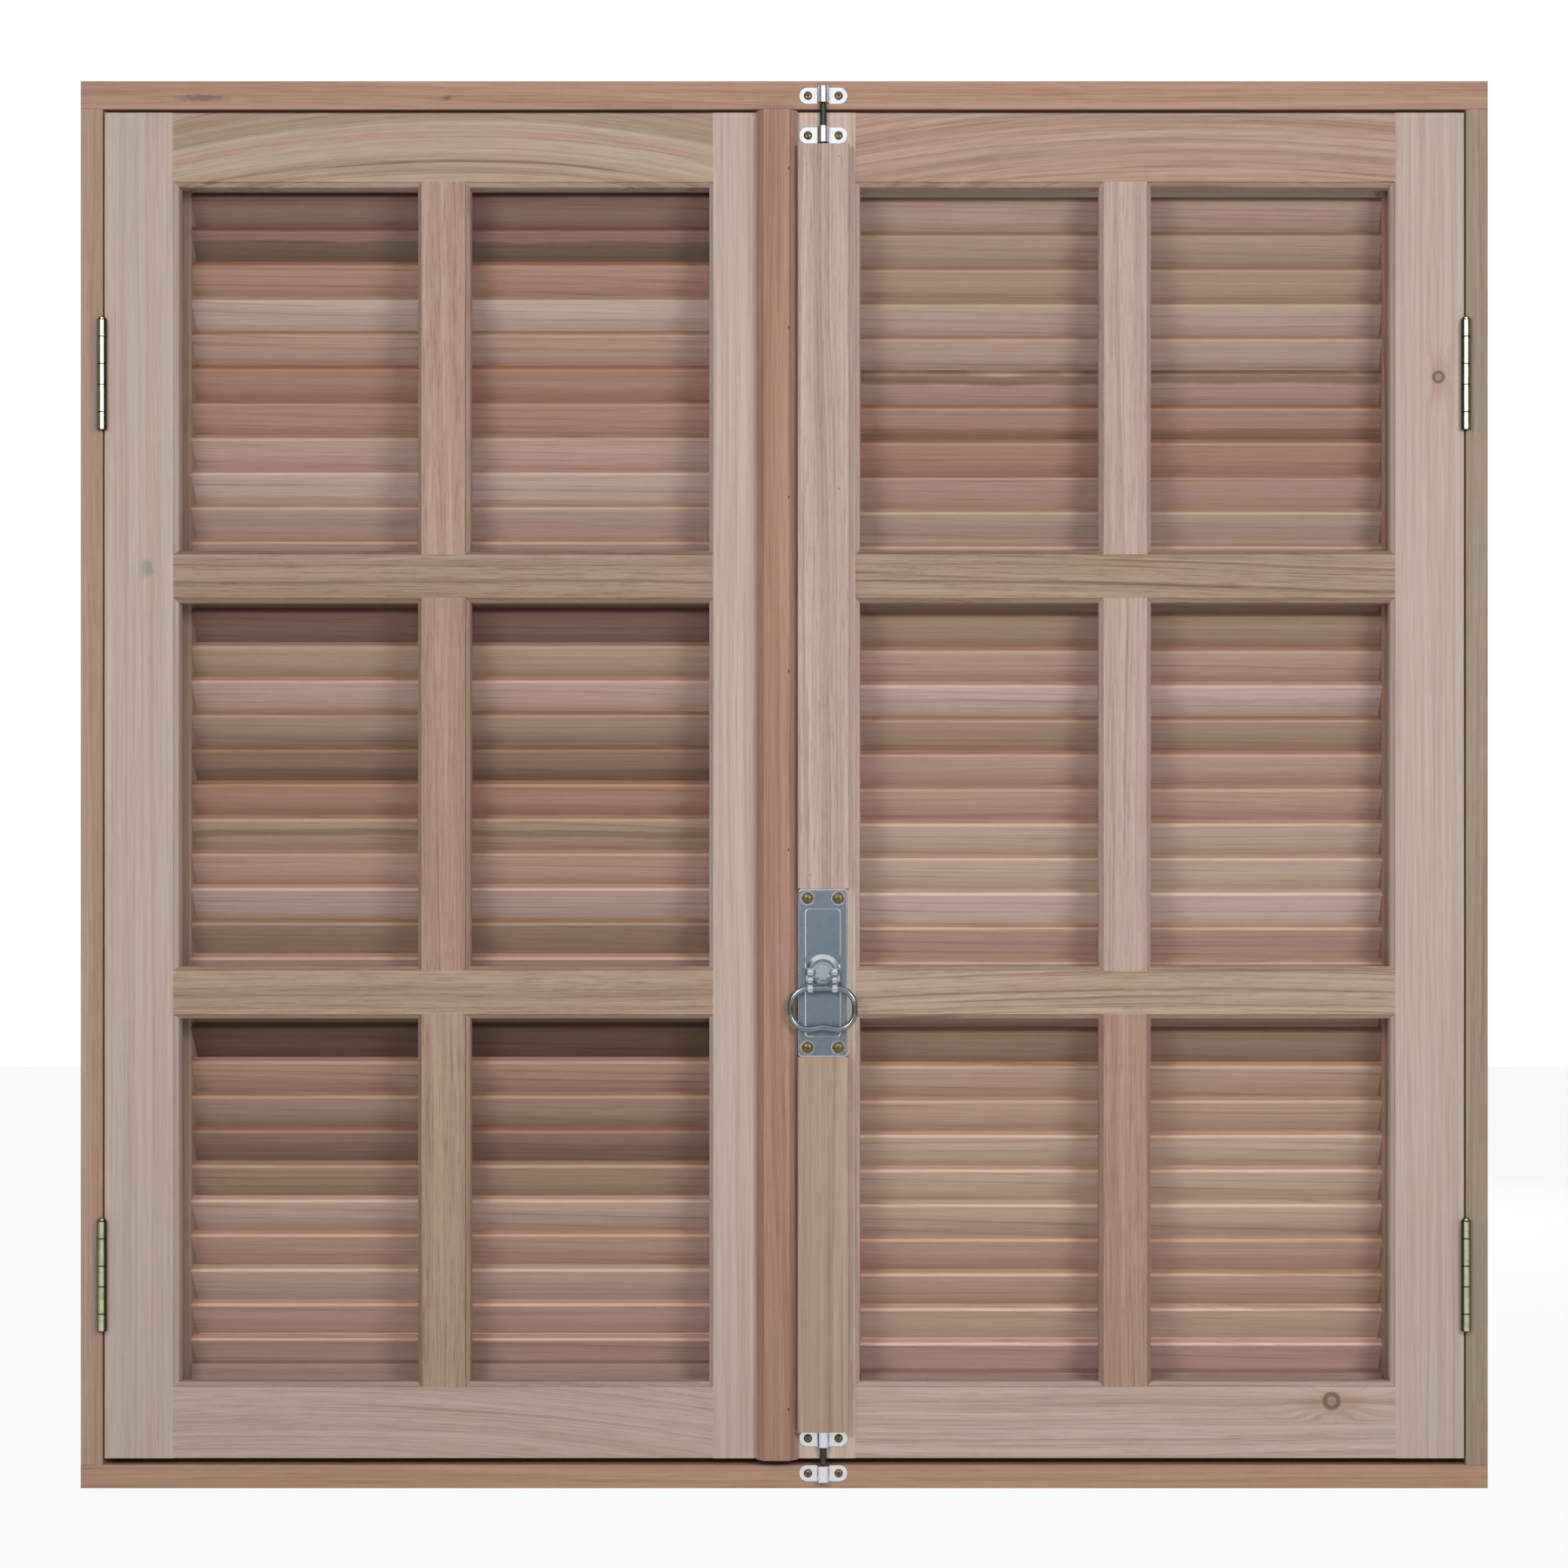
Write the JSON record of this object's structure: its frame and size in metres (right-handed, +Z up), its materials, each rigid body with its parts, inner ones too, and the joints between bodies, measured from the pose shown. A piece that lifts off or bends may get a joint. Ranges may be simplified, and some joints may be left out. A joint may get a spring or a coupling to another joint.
{
  "type": "louvred wooden window",
  "caption": "Square wooden window: paned inner sashes and outer louvred shutters hinged on one frame, with a surface rod bolt, geared to a pull ring handle.",
  "frame": {"origin": "centre of the underside of the sill", "axes": "+Z up, +X to the right seen from the room, +Y from the room to the outside"},
  "size_m": [1, 0.1035, 1],
  "materials": {
    "frame_wood": "planed, unfinished",
    "sash_wood": "planed, unfinished",
    "shutter_wood": "planed, unfinished",
    "slat_wood": "planed, unfinished",
    "astragal_wood": "planed, unfinished",
    "cover_wood": "planed, unfinished",
    "case_steel": "zinc plated, dull blue grey",
    "bright_zinc": "bright zinc plated",
    "yellow_zinc": "yellow zinc plated",
    "dark_steel": "oiled dark steel"
  },
  "bodies": {
    "frame": {"frame_head": "frame_wood", "frame_left_jamb": "frame_wood", "frame_right_jamb": "frame_wood", "frame_screws": "yellow_zinc", "frame_sill": "frame_wood", "lower_keep": "bright_zinc", "sash_hinge_jamb_plates": "yellow_zinc", "sash_hinge_pins": "yellow_zinc", "shutter_hinge_jamb_plates": "yellow_zinc", "shutter_hinge_pins": "yellow_zinc", "upper_keep": "bright_zinc"},
    "left_sash": {"left_sash_bottom_muntin": "sash_wood", "left_sash_bottom_rail": "sash_wood", "left_sash_hinge_plates": "yellow_zinc", "left_sash_hinge_screws": "yellow_zinc", "left_sash_hinge_stile": "sash_wood", "left_sash_lower_bar": "sash_wood", "left_sash_meeting_stile": "sash_wood", "left_sash_middle_muntin": "sash_wood", "left_sash_top_muntin": "sash_wood", "left_sash_top_rail": "sash_wood", "left_sash_upper_bar": "sash_wood"},
    "right_sash": {"astragal": "astragal_wood", "bolt_screws": "yellow_zinc", "cremone_case": "case_steel", "lower_rod_guide": "bright_zinc", "right_sash_bottom_muntin": "sash_wood", "right_sash_bottom_rail": "sash_wood", "right_sash_hinge_plates": "yellow_zinc", "right_sash_hinge_screws": "yellow_zinc", "right_sash_hinge_stile": "sash_wood", "right_sash_lower_bar": "sash_wood", "right_sash_meeting_stile": "sash_wood", "right_sash_middle_muntin": "sash_wood", "right_sash_top_muntin": "sash_wood", "right_sash_top_rail": "sash_wood", "right_sash_upper_bar": "sash_wood", "rod_cover_lower": "cover_wood", "rod_cover_upper": "cover_wood", "upper_rod_guide": "bright_zinc"},
    "left_shutter": {"left_shutter_bottom_rail": "shutter_wood", "left_shutter_hinge_plates": "yellow_zinc", "left_shutter_hinge_screws": "yellow_zinc", "left_shutter_hinge_stile": "shutter_wood", "left_shutter_meeting_stile": "shutter_wood", "left_shutter_slats": "slat_wood", "left_shutter_top_rail": "shutter_wood"},
    "right_shutter": {"right_shutter_bottom_rail": "shutter_wood", "right_shutter_hinge_plates": "yellow_zinc", "right_shutter_hinge_screws": "yellow_zinc", "right_shutter_hinge_stile": "shutter_wood", "right_shutter_meeting_stile": "shutter_wood", "right_shutter_slats": "slat_wood", "right_shutter_top_rail": "shutter_wood"},
    "handle": {"drive_pinion": "dark_steel", "handle_hub": "case_steel"},
    "ring": {"pull_ring": "case_steel"},
    "upper_rod": {"upper_rod": "dark_steel"},
    "lower_rod": {"lower_rod": "dark_steel"}
  },
  "joints": [
    {"name": "right_sash_swing", "type": "hinge", "parent": "frame", "child": "right_sash", "pos_m": [0.4839, -0.0407, 0], "axis": [0, 0, 1], "range_deg": [0, 100]},
    {"name": "left_sash_swing", "type": "hinge", "parent": "frame", "child": "left_sash", "pos_m": [-0.4839, -0.0407, 0], "axis": [0, 0, -1], "range_deg": [0, 100]},
    {"name": "left_shutter_swing", "type": "hinge", "parent": "frame", "child": "left_shutter", "pos_m": [-0.4839, 0.0407, 0], "axis": [0, 0, 1], "range_deg": [0, 165]},
    {"name": "right_shutter_swing", "type": "hinge", "parent": "frame", "child": "right_shutter", "pos_m": [0.4839, 0.0407, 0], "axis": [0, 0, -1], "range_deg": [0, 165]},
    {"name": "handle_turn", "type": "hinge", "parent": "right_sash", "child": "handle", "pos_m": [0.0278, -0.0404, 0.3666], "axis": [0, -1, 0], "range_deg": [0, 90]},
    {"name": "ring_lift", "type": "hinge", "parent": "handle", "child": "ring", "pos_m": [0.0278, -0.056, 0.3556], "axis": [-1, 0, 0], "range_deg": [0, 100]},
    {"name": "upper_rod_slide", "type": "slide", "parent": "right_sash", "child": "upper_rod", "axis": [0, 0, 1], "range_m": [0, 0.01493]},
    {"name": "lower_rod_slide", "type": "slide", "parent": "right_sash", "child": "lower_rod", "axis": [0, 0, -1], "range_m": [0, 0.01493]}
  ],
  "couplings": [
    {"joint": "left_sash_swing", "follows": "right_sash_swing", "ratio": 1},
    {"joint": "upper_rod_slide", "follows": "handle_turn", "m_per_rad": 0.009375},
    {"joint": "lower_rod_slide", "follows": "handle_turn", "m_per_rad": 0.009375}
  ]
}
